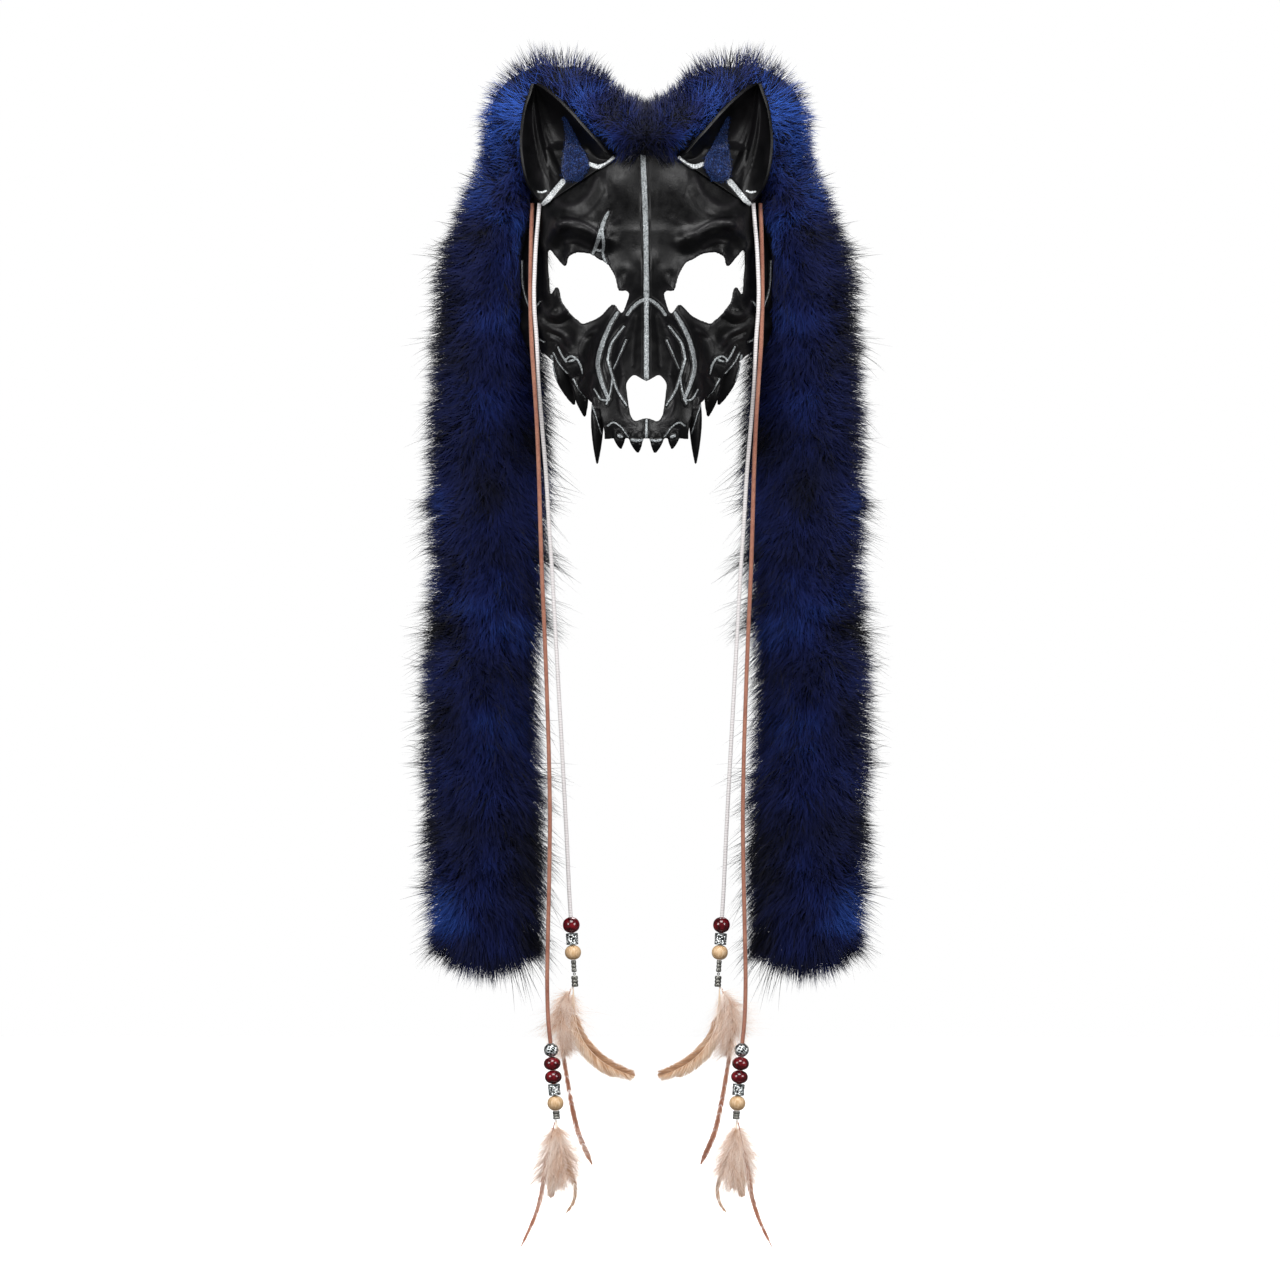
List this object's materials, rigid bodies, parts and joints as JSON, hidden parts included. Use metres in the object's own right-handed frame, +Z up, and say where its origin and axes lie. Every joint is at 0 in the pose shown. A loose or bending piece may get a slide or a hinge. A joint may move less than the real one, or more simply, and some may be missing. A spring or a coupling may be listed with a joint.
{
  "type": "wolf skull costume mask with fur tails and feather cords",
  "caption": "Black moulded wolf skull half-mask with hollow pointed ears, long deep blue fur tails and hanging cords with beads and feathers.",
  "frame": {"origin": "middle of the inner brow of the skull shell, where the mask rests on the forehead", "axes": "+X towards the picture's right, +Y back into the head, +Z up"},
  "size_m": [0.3412, 0.241, 0.8973],
  "materials": {
    "moulded_black": "semi-matte near-black with silver-grey seams",
    "ear_black": "semi-matte near-black",
    "blue_plush": "short blue plush",
    "blue_fur": "deep blue long-pile fur",
    "white_cord": "white round cord",
    "brown_suede": "brown suede lace",
    "red_gloss": "dark red gloss",
    "antique_silver": "carved, darkened silver",
    "pale_wood": "pale oiled wood",
    "dull_steel": "dull grey steel",
    "feather": "cream and tan feather",
    "black_elastic": "matt black woven elastic"
  },
  "bodies": {
    "root": {"mask_shell": "moulded_black", "ear_left": "ear_black", "ear_lining_left": "blue_plush", "fur_left": "blue_fur", "cord_white_left": "white_cord", "cord_brown_left": "brown_suede", "bead_red_left_1": "red_gloss", "bead_red_left_2": "red_gloss", "bead_red_left_3": "red_gloss", "bead_silver_left_1": "antique_silver", "bead_barrel_left_1": "antique_silver", "bead_barrel_left_2": "antique_silver", "bead_wood_left_1": "pale_wood", "bead_wood_left_2": "pale_wood", "crimp_left_1": "dull_steel", "crimp_left_2": "dull_steel", "crimp_left_3": "dull_steel", "ring_left": "dull_steel", "plume_white_left": "feather", "plume_brown_left": "feather", "ear_right": "ear_black", "ear_lining_right": "blue_plush", "fur_right": "blue_fur", "cord_white_right": "white_cord", "cord_brown_right": "brown_suede", "bead_red_right_1": "red_gloss", "bead_red_right_2": "red_gloss", "bead_red_right_3": "red_gloss", "bead_silver_right_1": "antique_silver", "bead_barrel_right_1": "antique_silver", "bead_barrel_right_2": "antique_silver", "bead_wood_right_1": "pale_wood", "bead_wood_right_2": "pale_wood", "crimp_right_1": "dull_steel", "crimp_right_2": "dull_steel", "crimp_right_3": "dull_steel", "ring_right": "dull_steel", "plume_white_right": "feather", "plume_brown_right": "feather", "head_strap": "black_elastic"}
  },
  "joints": []
}
